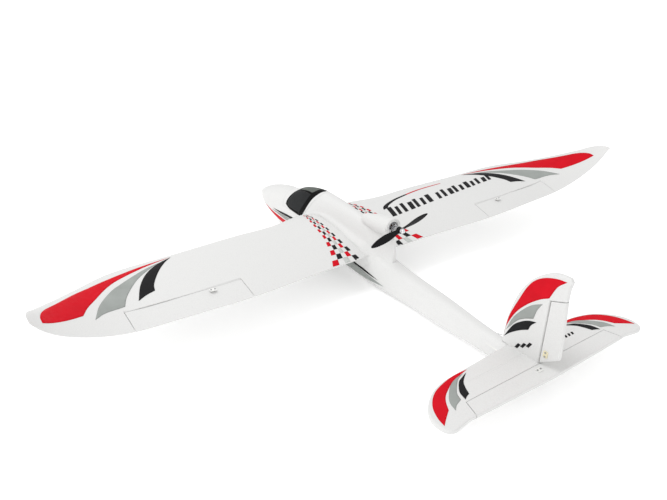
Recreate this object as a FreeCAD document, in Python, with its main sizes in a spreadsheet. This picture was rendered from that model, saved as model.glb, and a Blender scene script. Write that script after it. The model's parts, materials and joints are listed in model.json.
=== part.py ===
import FreeCAD, Part
import math
import os
from FreeCAD import Placement, Rotation, Vector

# A 1.4 m foam motor glider with a pusher motor on a pylon.
# Frame: millimetres, +Z up, nose towards -Y, left wing towards +X.
# The origin is below the middle of the overall length, on the plane that the belly rests on.

doc = FreeCAD.newDocument("rc_glider")
nodes = {}

# ---------------------------------------------------------------- driving dimensions

SIZES = {
    "overall_length": 915,
    "half_span": 701,
    # wing
    "root_x": 35,
    "root_lead_y": -215.3,
    "root_trail_y": -9.5,
    "root_height": 87,
    "lead_slope": 0.075,
    "trail_break_x": 320,
    "trail_break_y": 12.5,
    "tip_start_x": 500,
    "tip_lead_gain": 0.041,
    "tip_trail_gain": 0.0235,
    "dihedral_slope": 0.033,
    "rise_start_x": 490,
    "rise_gain": 0.00049,
    "tip_round_x": 10,
    "tip_round_y": 20,
    "tip_drag_y": 4,
    "tip_rake_x": 53,
    "tip_rake_y": 28,
    "tip_curl_x": 600,
    "tip_curl": 14,
    "foil_thickness": 0.115,
    "foil_camber": 0.03,
    "foil_camber_at": 0.4,
    "foil_incidence": 3.58,
    "foil_edge": 1.6,
    # ailerons
    "aileron_inner_x": 312,
    "aileron_outer_x": 541,
    "aileron_inner_hinge_y": -38,
    "aileron_outer_hinge_y": -32.5,
    "aileron_horn_x": 377,
    "hinge_depth": 1.5,
    "hinge_gap": 1.2,
    "hinge_bevel": 31,
    "end_gap": 1.2,
    # carbon wing joiner
    "joiner_radius": 4,
    "joiner_wall": 1,
    "joiner_half_length": 250,
    "joiner_y": -150,
    "joiner_z": 90.5,
    "fit_clearance": 0.08,
    # fuselage
    "nose_start_y": -330,
    "nose_centre_z": 63,
    "skin": 5,
    "floor_skin": 9,
    "boom_skin": 4,
    # canopy hatch
    "hatch_front_y": -332,
    "hatch_sill_z": 70,
    "hatch_back_sill_y": -248,
    "hatch_back_top_y": -199,
    "hatch_gap": 0.5,
    "hatch_opening_front_y": -314,
    "hatch_opening_back_y": -262,
    "magnet_radius": 3,
    "magnet_length": 3,
    # motor pod
    "pod_axis_z": 150.6,
    "pod_tilt": 9,
    "pod_front_y": -67,
    "pod_back_y": 31,
    "pod_back_radius": 19.8,
    "pod_bore_radius": 12.8,
    "pod_bore_front_y": -3,
    # tail
    "plate": 8,
    "tail_round": 2.6,
    "stab_top_z": 55.5,
    "stab_half_span": 248.8,
    "stab_lead_y": 351,
    "elevator_hinge_y": 421,
    "elevator_inner_end_x": 176,
    "elevator_outer_end_x": 185,
    "elevator_horn_x": 17.5,
    "fin_lead_y": 338,
    "fin_top_z": 232,
    "rudder_hinge_y": 418.5,
    "rudder_horn_z": 80.5,
    # linkages
    "wire_radius": 0.6,
    "tube_outer_radius": 1.5,
    "tube_inner_radius": 1.0,
    "tail_arm": 15,
    "aileron_arm": 22,
    "arm_thickness": 1.6,
    "wire_offset": 2.2,
    "pivot_hole_radius": 0.66,
    "rudder_slack": 0.7,
    "elevator_slack": 0.45,
    "rudder_hole_radius": 1.7,
    "elevator_hole_radius": 1.4,
    # servos
    "servo_length": 22.8,
    "servo_width": 12.2,
    "servo_height": 22.5,
    "servo_tab_length": 32.4,
    "servo_tab_thickness": 2.2,
    "servo_tab_height": 15.9,
    "servo_boss_radius": 5.9,
    "servo_boss_height": 3.8,
    "servo_spline_radius": 2.4,
    "servo_spline_height": 1.9,
    "arm_lift": 2.2,
    "arm_hub_radius": 3.6,
    # control horns
    "horn_base_length": 12.5,
    "horn_base_width": 9,
    "horn_base_thickness": 1.2,
    "horn_screw_spacing": 7.5,
    "horn_screw_radius": 1,
    "horn_screw_head_radius": 1.5,
    "horn_screw_head_height": 1.2,
    "horn_back": 11,
    "horn_fin_thickness": 1.6,
    # equipment
    "battery_length": 72,
    "battery_width": 34,
    "battery_height": 24,
    "battery_front_y": -384,
    "strap_width": 20,
    "strap_thickness": 1.2,
    "controller_length": 44,
    "controller_width": 24,
    "controller_height": 8.5,
    "receiver_length": 40,
    "receiver_width": 24,
    "receiver_height": 12,
    "tray_thickness": 3,
    # motor and propeller
    "motor_radius": 11.4,
    "motor_shaft_radius": 1.6,
    "stator_radius": 9,
    "propeller_diameter": 152,
    "propeller_y": 51,
    "propeller_hub_radius": 6.4,
    "propeller_hub_length": 8,
    "propeller_pitch": 102,
    "propeller_rest_angle": 12.5,
}

# Forward fuselage and pylon, station by station: keel, shoulder and crown heights,
# half width at the shoulder, and half width of the arch above it.
FORWARD = {
    "canopy_front": (-330, 0, 60, 106, 35, 35),
    "canopy_middle": (-290, -1, 64, 122, 36, 36),
    "canopy_back": (-250, -1, 68, 135, 36, 35),
    "wing_front": (-212, -1, 88, 141.5, 35, 31),
    "wing_high": (-180, -1, 0, 142, 35, 28),
    "wing_thick": (-140, -1, 0, 141, 35, 26),
    "wing_middle": (-100, 0, 0, 138, 35, 23.5),
    "wing_rear": (-60, 0, 0, 134, 35, 20.5),
    "wing_trail": (-25, 2.5, 0, 132, 33, 16),
    "pylon_middle": (0, 12, 62, 131, 25, 11),
    "pylon_rear": (22, 16, 60, 128, 18, 6.5),
    "pylon_trail": (41, 20, 58, 124, 11, 3),
}
FORWARD_COLUMNS = ("y", "keel", "shoulder", "crown", "half", "arch")

# Tail boom: keel and crown heights and half width.
BOOM = {
    "boom_start": (-110, 6, 84, 28),
    "boom_wing": (-50, 1.5, 82, 30),
    "boom_root": (0, 0.4, 78, 29.5),
    "boom_pylon": (43, 2, 73.5, 27),
    "boom_middle": (150, 6, 66, 23),
    "boom_rear": (250, 8.5, 59.5, 19.5),
    "boom_tail": (330, 9.5, 55, 17.3),
    "boom_close": (395, 14, 54, 12.5),
    "boom_end": (415, 22, 52, 7),
}
BOOM_COLUMNS = ("y", "keel", "crown", "half")


def make_sheet():
    """The spreadsheet that holds every driving dimension, one alias to a cell."""
    cells = dict(SIZES)
    for stations, columns in ((FORWARD, FORWARD_COLUMNS), (BOOM, BOOM_COLUMNS)):
        for station, values in stations.items():
            for column, value in zip(columns, values):
                cells[station + "_" + column] = value
    made = doc.addObject("Spreadsheet::Sheet", "sizes")
    for row, (alias, value) in enumerate(cells.items(), 1):
        made.set("A%d" % row, alias)
        made.set("B%d" % row, str(value))
        made.setAlias("B%d" % row, alias)
    doc.recompute()
    return made


sheet = make_sheet()


def size(alias):
    return float(sheet.get(alias))


def station(name, columns):
    return {column: size(name + "_" + column) for column in columns}


# ---------------------------------------------------------------- small helpers


def bind(obj, **expressions):
    """Ties properties of an object to cells: each value is a formula over the sheet."""
    for prop, formula in expressions.items():
        obj.setExpression(prop, formula)
    return obj


def box(name, length, width, height, at=(0, 0, 0)):
    """A box with sizes from the sheet and its low corner at a point."""
    made = bind(doc.addObject("Part::Box", name), Length=length, Width=width, Height=height)
    made.Placement = Placement(Vector(*at), Rotation())
    return made


def cylinder(name, radius, height, at=(0, 0, 0), along=(0, 0, 1)):
    """A cylinder that starts at a point and runs along a direction."""
    made = bind(doc.addObject("Part::Cylinder", name), Radius=radius, Height=height)
    made.Placement = Placement(Vector(*at), Rotation(Vector(0, 0, 1), Vector(*along)))
    return made


def fuse(name, parts):
    made = doc.addObject("Part::MultiFuse", name)
    made.Shapes = parts
    return made


def cut(name, base, tool):
    made = doc.addObject("Part::Cut", name)
    made.Base = base
    made.Tool = tool
    return made


def feature(name, shape):
    """A Part::Feature for a form that no primitive makes."""
    made = doc.addObject("Part::Feature", name)
    made.Shape = shape
    return made


def keep(node, obj, placement=None):
    """Registers an object as a sub-part: its label names the file."""
    obj.Label = node
    if placement is not None:
        obj.Placement = placement
    nodes[node] = obj
    return obj


def mirrored(node, source):
    """The right-hand twin of a left-hand sub-part."""
    made = doc.addObject("Part::Mirroring", "mirror_" + node)
    made.Source = source
    made.Normal = Vector(1, 0, 0)
    return keep(node, made)


def copies(shapes):
    """Separate solids kept together in one node."""
    return Part.makeCompound(shapes)


def prism(points, direction):
    """A solid swept straight from a closed polygon."""
    face = Part.Face(Part.makePolygon([Vector(*p) for p in points] + [Vector(*points[0])]))
    return face.extrude(Vector(*direction))


def slab(low, high):
    """An axis-aligned block between two corners."""
    low, high = Vector(*low), Vector(*high)
    span = high - low
    return Part.makeBox(span.x, span.y, span.z, low)


def tube_between(start, end, radius):
    start, end = Vector(*start), Vector(*end)
    return Part.makeCylinder(radius, (end - start).Length, start, end - start)


def bent_wire(points, radius):
    """A stiff wire through points: tight at its hooked ends, and gentle where it only changes course."""
    corners = [Vector(*p) for p in points]
    edges, start = [], corners[0]
    for before, corner, after in zip(corners, corners[1:], corners[2:]):
        into, out = (corner - before).normalize(), (after - corner).normalize()
        half_turn = into.getAngle(out) / 2
        bend = radius * (2 if half_turn > 0.5 else 30)
        leg = bend * math.tan(half_turn)
        first, last = corner - into * leg, corner + out * leg
        middle = corner + (out - into).normalize() * (bend / math.cos(half_turn) - bend)
        edges += [Part.makeLine(start, first), Part.Arc(first, middle, last).toShape()]
        start = last
    edges.append(Part.makeLine(start, corners[-1]))
    section = Part.Wire(Part.makeCircle(radius, corners[0], corners[1] - corners[0]))
    return Part.Wire(edges).makePipeShell([section], True, True)


# ---------------------------------------------------------------- wing geometry


def past(x, start):
    return max(0.0, x - start)


def tip_closing(x):
    """0 inboard of the rounded tip, rising to 1 at the very end."""
    reach = past(x, size("half_span") - size("tip_round_x")) / size("tip_round_x")
    return 1 - math.sqrt(max(0.0, 1 - reach * reach))


def tip_raking(x):
    """0 inboard of the raked end of the tip, rising to 1 at the very end."""
    reach = past(x, size("half_span") - size("tip_rake_x")) / size("tip_rake_x")
    return 1 - math.sqrt(max(0.0, 1 - reach * reach))


def lead_y(x):
    """Leading edge: straight with a little sweep, then curving aft to the tip."""
    straight = size("root_lead_y") + size("lead_slope") * (x - size("root_x"))
    swept = size("tip_lead_gain") * past(x, size("tip_start_x")) ** 1.55
    return straight + swept + size("tip_rake_y") * tip_raking(x) + size("tip_round_y") * tip_closing(x)


def trail_y(x):
    """Trailing edge: two straight runs, then a gentle sweep to the tip."""
    share = min(1.0, (x - size("root_x")) / (size("trail_break_x") - size("root_x")))
    straight = size("root_trail_y") + share * (size("trail_break_y") - size("root_trail_y"))
    swept = size("tip_trail_gain") * past(x, size("tip_start_x")) ** 1.3
    return straight + swept + size("tip_drag_y") * tip_closing(x)


def lead_z(x):
    """Height of the leading edge: dihedral, then the upturned tip."""
    dihedral = size("root_height") + size("dihedral_slope") * (x - size("root_x"))
    curl = size("tip_curl") * (past(x, size("tip_curl_x")) / (size("half_span") - size("tip_curl_x"))) ** 6
    return dihedral + size("rise_gain") * past(x, size("rise_start_x")) ** 2.2 + curl


def foil_surface(share, upper, slim=1.0):
    """Height over the chord line, as a share of the chord, of a cambered section."""
    camber, crest = size("foil_camber"), size("foil_camber_at")
    half = 5 * size("foil_thickness") * slim * (
        0.2969 * math.sqrt(share) - 0.126 * share - 0.3516 * share**2
        + 0.2843 * share**3 - 0.1036 * share**4
    )
    if share < crest:
        line = camber / crest**2 * (2 * crest * share - share**2)
    else:
        line = camber / (1 - crest) ** 2 * (1 - 2 * crest + 2 * crest * share - share**2)
    return line + half if upper else line - half


def foil_point(x, share, upper):
    """A point of the wing's skin at span x and chord share."""
    chord = trail_y(x) - lead_y(x)
    slim = 1 - 0.75 * tip_closing(x)
    over = foil_surface(share, upper, slim) * chord
    over += (1 if upper else -1) * share * size("foil_edge") / 2
    angle = math.radians(size("foil_incidence"))
    along = share * chord
    return Vector(
        x,
        lead_y(x) + along * math.cos(angle) + over * math.sin(angle),
        lead_z(x) + over * math.cos(angle) - along * math.sin(angle),
    )


def foil_wire(x):
    """The closed outline of the wing at span x: one spline and a blunt trailing edge."""
    shares = [(1 - math.cos(math.pi * i / 12)) / 2 for i in range(13)]
    points = [foil_point(x, share, True) for share in reversed(shares)]
    points += [foil_point(x, share, False) for share in shares[1:]]
    skin = Part.BSplineCurve()
    skin.interpolate(points)
    return Part.Wire([skin.toShape(), Part.makeLine(points[-1], points[0])])


def wing_top(x, y):
    """Height of the upper skin at a place in plan."""
    share = (y - lead_y(x)) / (trail_y(x) - lead_y(x))
    return foil_point(x, min(max(share, 0.0), 1.0), True).z


def whole_wing():
    """The left wing panel before the aileron is cut from it."""
    end = size("half_span")
    inner = [size("root_x"), 120, 220, 320, 420, 490, 530, 565, 600, 630, 655, 672, 683]
    closing = [end - size("tip_round_x") * share for share in (1.0, 0.5, 0.2, 0.03)]
    return Part.makeLoft([foil_wire(x) for x in inner + closing], True)


def hinge_point(x, y):
    return Vector(x, y, wing_top(x, y) - size("hinge_depth"))


def aileron_frame():
    """Placement with X along the aileron hinge, Y aft and Z up, at the hinge's inner end."""
    inner = hinge_point(size("aileron_inner_x"), size("aileron_inner_hinge_y"))
    outer = hinge_point(size("aileron_outer_x"), size("aileron_outer_hinge_y"))
    along = (outer - inner).normalize()
    aft = Vector(0, 0, 1).cross(along).normalize()
    up = along.cross(aft)
    return Placement(inner, Rotation(along, aft, up, "XZY")), (outer - inner).Length


def hinged_profile(depth, reach):
    """Section of a control surface behind its hinge: upright above, bevelled below."""
    back = math.tan(math.radians(size("hinge_bevel"))) * depth
    return [(0, 0, depth), (0, 0, 0), (0, back, -depth), (0, reach, -depth), (0, reach, depth)]


# ---------------------------------------------------------------- fuselage geometry


def half_outline(points, turns):
    """A closed half section: a spline from keel to crown, and the centre line."""
    curve = Part.BSplineCurve()
    curve.interpolate(Points=points, Parameters=turns)
    return Part.Wire([curve.toShape(), Part.makeLine(points[-1], points[0])])


def quarter_turns(steps):
    return [math.pi / 2 * i / steps for i in range(steps + 1)]


def forward_outline(y, keel, shoulder, crown, half, arch, shrink=(0, 0)):
    """One cross-section: a full lower body, and an arch above that flares to the shoulder."""
    sides, floor = shrink
    half, arch, keel, crown = half - sides, arch - sides, keel + floor, crown - sides
    points = []
    for turn in quarter_turns(8):
        across, down = math.sin(turn) ** (2 / 2.4), math.cos(turn) ** (2 / 2.4)
        points.append(Vector(half * across, y, shoulder - (shoulder - keel) * down))
    for turn in quarter_turns(8)[1:]:
        across = arch * math.cos(turn) + (half - arch) * (1 - math.sin(turn)) ** 5
        points.append(Vector(across, y, shoulder + (crown - shoulder) * math.sin(turn)))
    points[-1].x = 0
    return half_outline(points, [i / 16 for i in range(17)])


def shoulder_at(values):
    """The shoulder follows the wing's upper skin where a station leaves it at zero."""
    if values["shoulder"] == 0:
        return wing_top(size("root_x"), values["y"])
    return values["shoulder"]


def nose_outlines(shrink):
    """The nose: the canopy's front section, drawn in along a blunt bullet shape."""
    base = station("canopy_front", FORWARD_COLUMNS)
    centre, tip = size("nose_centre_z"), -size("overall_length") / 2
    length = size("nose_start_y") - tip
    wires = []
    for reach in (0.999, 0.99, 0.965, 0.92, 0.84, 0.7, 0.48, 0.22):
        scale = (1 - reach**4.3) ** 0.31
        above, below = (1 - reach**1.2) ** 0.68, (1 - reach**1.55) ** 0.35
        y = size("nose_start_y") - reach * length
        if reach > 0.93 and shrink[0] > 0:
            continue
        wires.append(forward_outline(
            y,
            centre + (base["keel"] - centre) * below,
            centre + (base["shoulder"] - centre) * above,
            centre + (base["crown"] - centre) * above,
            base["half"] * scale,
            base["arch"] * scale,
            (shrink[0] * scale, shrink[1] * scale),
        ))
    return wires


def forward_half(shrink=(0, 0), last=None):
    """Left half of the nose, canopy deck, wing seat and pylon as one smooth solid."""
    wires = nose_outlines(shrink)
    for name in list(FORWARD)[:last]:
        values = station(name, FORWARD_COLUMNS)
        values["shoulder"] = shoulder_at(values)
        wires.append(forward_outline(shrink=shrink, **values))
    return Part.makeLoft(wires, True)


def boom_half(shrink=0):
    """Left half of the tail boom, from inside the wing seat to its end under the tail."""
    wires = []
    for name in BOOM:
        s = station(name, BOOM_COLUMNS)
        middle = (s["crown"] + s["keel"]) / 2
        half, high = s["half"] - shrink, (s["crown"] - s["keel"]) / 2 - shrink
        points = []
        for turn in [math.pi * i / 16 for i in range(17)]:
            across = math.sin(turn) ** (2 / 2.3)
            up = -math.copysign(abs(math.cos(turn)) ** (2 / 2.3), math.cos(turn))
            points.append(Vector(half * across, s["y"], middle + high * up))
        points[0].x = points[-1].x = 0
        wires.append(half_outline(points, [i / 16 for i in range(17)]))
    return Part.makeLoft(wires, True)


def thrust_line():
    """The motor's axis leans: everything built level about it is turned at the propeller."""
    centre = Vector(0, size("propeller_y"), size("pod_axis_z"))
    return Placement(Vector(0, 0, 0), Rotation(Vector(1, 0, 0), size("pod_tilt")), centre)


def leaning(shape):
    """A shape built about the level axis, turned on to the thrust line."""
    turned = shape.copy()
    turned.Placement = thrust_line().multiply(turned.Placement)
    return turned


def pod_half():
    """Left half of the motor pod: a rounded front and a slightly flared barrel."""
    front, back, rim = size("pod_front_y"), size("pod_back_y"), size("pod_back_radius")
    along = [(0, front), (7.5, front + 2.6), (11.4, front + 8), (14.1, -46), (15.8, -36),
             (18.1, -18), (19.6, 6), (rim, back - 2)]
    outline = Part.BSplineCurve()
    outline.interpolate([Vector(out, y, 0) for out, y in along])
    start, edge = Vector(0, front, 0), Vector(rim, back - 2, 0)
    lip = Vector(rim - 1.6, back, 0)
    edges = [
        outline.toShape(),
        Part.makeLine(edge, lip),
        Part.makeLine(lip, Vector(0, back, 0)),
        Part.makeLine(Vector(0, back, 0), start),
    ]
    face = Part.Face(Part.Wire(edges))
    pod = face.revolve(Vector(0, 0, 0), Vector(0, 1, 0), 360)
    pod.translate(Vector(0, 0, size("pod_axis_z")))
    return leaning(pod).common(slab((0, -200, 0), (60, 200, 250)))


def hatch_region(grow):
    """The space of the canopy hatch, seen from the side, grown by a gap."""
    top = 170
    front = size("hatch_front_y") - grow
    return prism([
        (-60, front, size("hatch_sill_z") - grow),
        (-60, size("hatch_back_sill_y") + grow, size("hatch_sill_z") - grow),
        (-60, size("hatch_back_top_y") + grow, 143),
        (-60, size("hatch_back_top_y") + grow + 17, top),
        (-60, front, top),
    ], (120, 0, 0))


# ---------------------------------------------------------------- places inside the fuselage

TRAY_TOP = 34.0
SERVO_TOP_Z = TRAY_TOP - size("servo_tab_height") + size("servo_height") + size("servo_boss_height")
ARM_Z = SERVO_TOP_Z + size("arm_lift")
WIRE_Z = ARM_Z - size("wire_offset")
RUDDER_SERVO = Vector(-1, -84, ARM_Z)
ELEVATOR_SERVO = Vector(1, -130, ARM_Z)
HORN_REACH = size("tail_arm")
RUDDER_WIRE_X = RUDDER_SERVO.x - HORN_REACH + size("rudder_slack")
ELEVATOR_WIRE_X = ELEVATOR_SERVO.x + HORN_REACH - size("elevator_slack")
ELEVATOR_AXIS_Z = size("stab_top_z") - size("hinge_depth")

RUDDER_WIRE = [
    (RUDDER_WIRE_X, RUDDER_SERVO.y, WIRE_Z + 4.5),
    (RUDDER_WIRE_X, RUDDER_SERVO.y, WIRE_Z),
    (-17.6, 306, 44.5),
    (-HORN_REACH + size("rudder_slack"), size("rudder_hinge_y"), size("rudder_horn_z") - size("wire_offset")),
    (-HORN_REACH + size("rudder_slack"), size("rudder_hinge_y"), size("rudder_horn_z") + 2.2),
]
ELEVATOR_HORN_Z = ELEVATOR_AXIS_Z - HORN_REACH + size("elevator_slack")
ELEVATOR_WIRE = [
    (ELEVATOR_WIRE_X, ELEVATOR_SERVO.y, WIRE_Z + 4.5),
    (ELEVATOR_WIRE_X, ELEVATOR_SERVO.y, WIRE_Z),
    (size("elevator_horn_x") - size("wire_offset"), size("elevator_hinge_y"), ELEVATOR_HORN_Z),
    (size("elevator_horn_x") + 2.2, size("elevator_hinge_y"), ELEVATOR_HORN_Z),
]


def along_wire(wire, y):
    """The point of a wire's straight main run at station y."""
    start, end = Vector(*wire[1]), Vector(*wire[2])
    return start + (end - start) * ((y - start.y) / (end.y - start.y))


GUIDES = {
    "rudder_guide_tube": (along_wire(RUDDER_WIRE, -56), along_wire(RUDDER_WIRE, 300)),
    "elevator_guide_tube": (along_wire(ELEVATOR_WIRE, -56), along_wire(ELEVATOR_WIRE, 345)),
}


# ---------------------------------------------------------------- foam airframe


def wing_parts():
    """Left wing panel and left aileron, cut from one wing along the hinge."""
    wing = whole_wing()
    frame, length = aileron_frame()
    gap, reach = size("hinge_gap"), 90
    opening = prism([(0, -gap, -40), (0, -gap, 40), (0, reach, 40), (0, reach, -40)], (length, 0, 0))
    opening.Placement = frame
    flap = prism(hinged_profile(40, reach), (length - 2 * size("end_gap"), 0, 0))
    flap.translate(Vector(size("end_gap"), 0, 0))
    flap.Placement = frame.multiply(flap.Placement)
    groove = prism([(0, -2.7, 1.8), (0, -0.4, -0.9), (0, 0.4, -0.9), (0, 2.7, 1.8), (0, 2.7, 6), (0, -2.7, 6)],
                   (length, 0, 0))
    groove.Placement = frame
    panel = wing.cut([opening, groove])
    aileron = wing.common(flap).cut(groove)
    return panel, aileron


def aileron_linkage_frame():
    """Placement at the hinge, above the control horn's hole, with X along the hinge."""
    frame, length = aileron_frame()
    share = (size("aileron_horn_x") - frame.Base.x) / frame.Rotation.multVec(Vector(1, 0, 0)).x
    return Placement(frame.multVec(Vector(share, 0, 0)), frame.Rotation)


SERVO_BACK = Vector(0, -67, -3.5)


def aileron_servo_pocket():
    """The pocket under the wing for the servo and its swinging arm, in the linkage frame."""
    side = 0.3
    x, y, z = SERVO_BACK
    high = z + size("servo_width") / 2 + side
    front = y - size("servo_length") + size("servo_boss_radius") - side
    rear = y + size("servo_boss_radius") + side
    deep = size("servo_height") + size("servo_boss_height") + size("arm_lift") + side
    body = slab((x - deep, front, z - 60), (x - 1, rear, high))
    tab = x - deep + side + size("servo_tab_height")
    tabs = slab((tab - side, front - 5.2, z - 60), (tab + size("servo_tab_thickness") + side, rear + 5.2, high))
    swing = slab((x - 3, y - 14, z - 60), (x + 4, y + 14, z + 4.5))
    return body.fuse([tabs, swing])


def wing_panel(panel):
    """The panel with its joiner hole and servo pocket."""
    hole = Part.makeCylinder(
        size("joiner_radius") + size("fit_clearance"),
        size("joiner_half_length") + 1 - size("root_x") + 5,
        Vector(size("root_x") - 5, size("joiner_y"), size("joiner_z")), Vector(1, 0, 0),
    )
    pocket = aileron_servo_pocket()
    pocket.Placement = aileron_linkage_frame()
    return panel.cut(hole).cut(pocket)


def wing_stub():
    """The wing's root section carried in to the middle of the fuselage."""
    root = size("root_x") - 0.15
    wire = foil_wire(size("root_x"))
    wire.translate(Vector(-size("root_x"), 0, 0))
    return Part.Face(wire).extrude(Vector(root, 0, 0))


def stab_seat():
    """The flat on top of the boom that the tailplane sits on."""
    low = size("stab_top_z") - size("plate")
    return slab((-60, size("stab_lead_y") - 0.1, low), (60, 470, low + 60))


def servo_bay():
    """The bay under the wing: a wide upper part, and ledges that the servo tray rests on."""
    ledge = TRAY_TOP - size("tray_thickness")
    return slab((-20, -165, 15.5), (20, -56, ledge + 1)).fuse(slab((-24, -165, ledge), (24, -56, 66)))


def fuselage_cavities():
    """Everything hollow inside the fuselage, as one list of cutters."""
    inner = both_sides(forward_half((size("skin"), size("floor_skin")), 4))
    front = inner.common(slab((-60, -440, 0), (60, -224, size("hatch_sill_z") - 12)))
    opening = inner.common(slab(
        (-60, size("hatch_opening_front_y"), 50), (60, size("hatch_opening_back_y"), 120)))
    rear = both_sides(boom_half(size("boom_skin"))).common(slab((-60, -38, 0), (60, 340, 120)))
    battery = slab((-18, -390, 10.5), (18, -300, 45))
    controller = slab((-12.5, -278, 9.95), (12.5, -231, 30))
    tunnel = slab((-14, -230, 9), (14, -160, 27))
    wires = slab((-4.5, -43, 60), (4.5, -33, 139))
    wires = wires.fuse(leaning(on_axis(4.5, -38, size("pod_bore_front_y") + 1)))
    bore = leaning(on_axis(size("pod_bore_radius"), size("pod_bore_front_y"), 45))
    joiner = tube_between(
        (-60, size("joiner_y"), size("joiner_z")), (60, size("joiner_y"), size("joiner_z")),
        size("joiner_radius") + 1 + size("fit_clearance"))
    cutters = [front, opening, rear, battery, controller, tunnel, servo_bay(), wires, bore, joiner]
    for (start, end), exit_length in zip(GUIDES.values(), (8, 40)):
        run = (end - start).normalize()
        cutters.append(tube_between(start - run * 12, end + run * exit_length, size("tube_outer_radius") + 0.05))
    return cutters


def magnet_places():
    x_front, x_back = 12, 23
    front, back = size("hatch_front_y") + 9, size("hatch_back_sill_y") - 7
    return [(-x_front, front), (x_front, front), (-x_back, back), (x_back, back)]


def magnets(low):
    return [
        Part.makeCylinder(size("magnet_radius"), size("magnet_length"), Vector(x, y, low))
        for x, y in magnet_places()
    ]


def magnet_pockets(low, extra):
    return [
        Part.makeCylinder(size("magnet_radius") + extra, size("magnet_length") + extra, Vector(x, y, low))
        for x, y in magnet_places()
    ]


FUSELAGE_MAGNET_Z = size("hatch_sill_z") - size("hatch_gap") - size("magnet_length")
HATCH_MAGNET_Z = size("hatch_sill_z")


def both_sides(half):
    return half.fuse(half.mirror(Vector(0, 0, 0), Vector(1, 0, 0)))


def outer_half():
    """Left half of the fuselage's outside, without hollows."""
    return forward_half().fuse([boom_half(), pod_half(), wing_stub()])


def fuselage_half(side):
    """One moulded foam half: side is 1 for left and -1 for right."""
    half = outer_half()
    wing_joint = slab((size("root_x") - 0.15, -240, 0), (60, -4, 200))
    below = slab((-80, -500, -20), (80, 500, 0))
    half = half.cut([hatch_region(size("hatch_gap")), stab_seat(), wing_joint, below])
    if side < 0:
        half = half.mirror(Vector(0, 0, 0), Vector(1, 0, 0))
    return half.cut(fuselage_cavities() + magnet_pockets(FUSELAGE_MAGNET_Z, 0.02))


def hatch():
    """The lift-off canopy: a foam shell over the battery bay."""
    inner = forward_half((size("skin") + 1, size("floor_skin")), 4)
    hollow = inner.common(slab(
        (0, size("hatch_opening_front_y"), 40), (60, size("hatch_opening_back_y"), 200)))
    shell = both_sides(forward_half().common(hatch_region(0)).cut(hollow))
    return shell.removeSplitter().cut(magnet_pockets(HATCH_MAGNET_Z - 0.02, 0.02))


# ---------------------------------------------------------------- tail surfaces


def curve_through(points):
    curve = Part.BSplineCurve()
    curve.interpolate([Vector(*p) for p in points])
    return curve.toShape()


def rounded_plate(wire, direction, keep_edge):
    """A plate with rounded rims, except along edges that keep_edge rejects."""
    plate = Part.Face(wire).extrude(Vector(*direction))
    rims = [edge for edge in plate.Edges if keep_edge(edge)]
    return plate.makeFillet(size("tail_round"), rims)


def stab_plate():
    """Tailplane and elevator as one plate."""
    z = size("stab_top_z") - size("plate")
    tip, lead = size("stab_half_span"), size("stab_lead_y")
    end = size("overall_length") / 2
    curved = [(160, 361.5, z), (191, 368.5, z), (218, 383, z), (237, 401, z), (246, 416, z), (tip, 430, z)]
    corner = [(247.4, 442, z), (243.5, 450.5, z), (236, end - 2, z), (226, end - 1.2, z)]
    edges = [
        Part.makeLine(Vector(0, lead, z), Vector(*curved[0])),
        curve_through(curved + corner),
        Part.makeLine(Vector(*corner[-1]), Vector(198, 451, z)),
        Part.makeLine(Vector(198, 451, z), Vector(186, 451.5, z)),
        Part.makeLine(Vector(186, 451.5, z), Vector(0, end - 1, z)),
    ]
    mirror = [edge.mirror(Vector(0, 0, 0), Vector(1, 0, 0)) for edge in edges]
    wire = Part.Wire(Part.__sortEdges__(edges + mirror))
    return rounded_plate(wire, (0, 0, size("plate")), lambda e: abs(e.BoundBox.ZLength) < 0.01)


def stab_and_elevator():
    plate = stab_plate()
    hinge, gap = size("elevator_hinge_y"), size("hinge_gap")
    inner, outer = size("elevator_inner_end_x"), size("elevator_outer_end_x")
    ends, top = size("end_gap"), ELEVATOR_AXIS_Z
    opening = prism([
        (-inner, hinge - gap, 0), (inner, hinge - gap, 0), (outer, 452, 0), (outer + 8, 480, 0),
        (-outer - 8, 480, 0), (-outer, 452, 0),
    ], (0, 0, 100))
    flap_plan = prism([
        (-inner + ends, hinge - 20, 0), (inner - ends, hinge - 20, 0), (inner - ends, hinge, 0),
        (outer - ends, 452, 0), (outer + 8 - ends, 480, 0),
        (-outer - 8 + ends, 480, 0), (-outer + ends, 452, 0), (-inner + ends, hinge, 0),
    ], (0, 0, 100))
    flap = prism(hinged_profile(30, 90), (2 * inner + 60, 0, 0))
    flap.translate(Vector(-inner - 30, hinge, top))
    return plate.cut(opening), plate.common(flap_plan).common(flap)


def fin_plate():
    """Fin and rudder as one plate, thinner than the tailplane's edge radius allows for."""
    x = -size("plate") / 2
    lead, foot, top = size("fin_lead_y"), size("stab_top_z") + 0.1, size("fin_top_z")
    front = [(x, lead, foot), (x, lead + 1, 84), (x, 345, 123), (x, 359, 168), (x, 383, 204), (x, 404, 221)]
    crown = front[-1:] + [(x, 419, 228.5), (x, 434, top - 0.5), (x, 446, top)]
    rear = [(x, 451, 226), (x, 448, 205), (x, 449.5, 175), (x, 453, 130), (x, 455.5, 83)]
    edges = [
        curve_through(front + crown[1:]),
        Part.makeLine(Vector(*crown[-1]), Vector(*rear[0])),
        curve_through(rear),
        Part.makeLine(Vector(*rear[-1]), Vector(x, 418.5, foot)),
        Part.makeLine(Vector(x, 418.5, foot), Vector(*front[0])),
    ]
    wire = Part.Wire(Part.__sortEdges__(edges))

    def rim(edge):
        box_ = edge.BoundBox
        return box_.XLength < 0.01 and not (box_.ZMax < foot + 0.5)

    return rounded_plate(wire, (size("plate"), 0, 0), rim)


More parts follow.
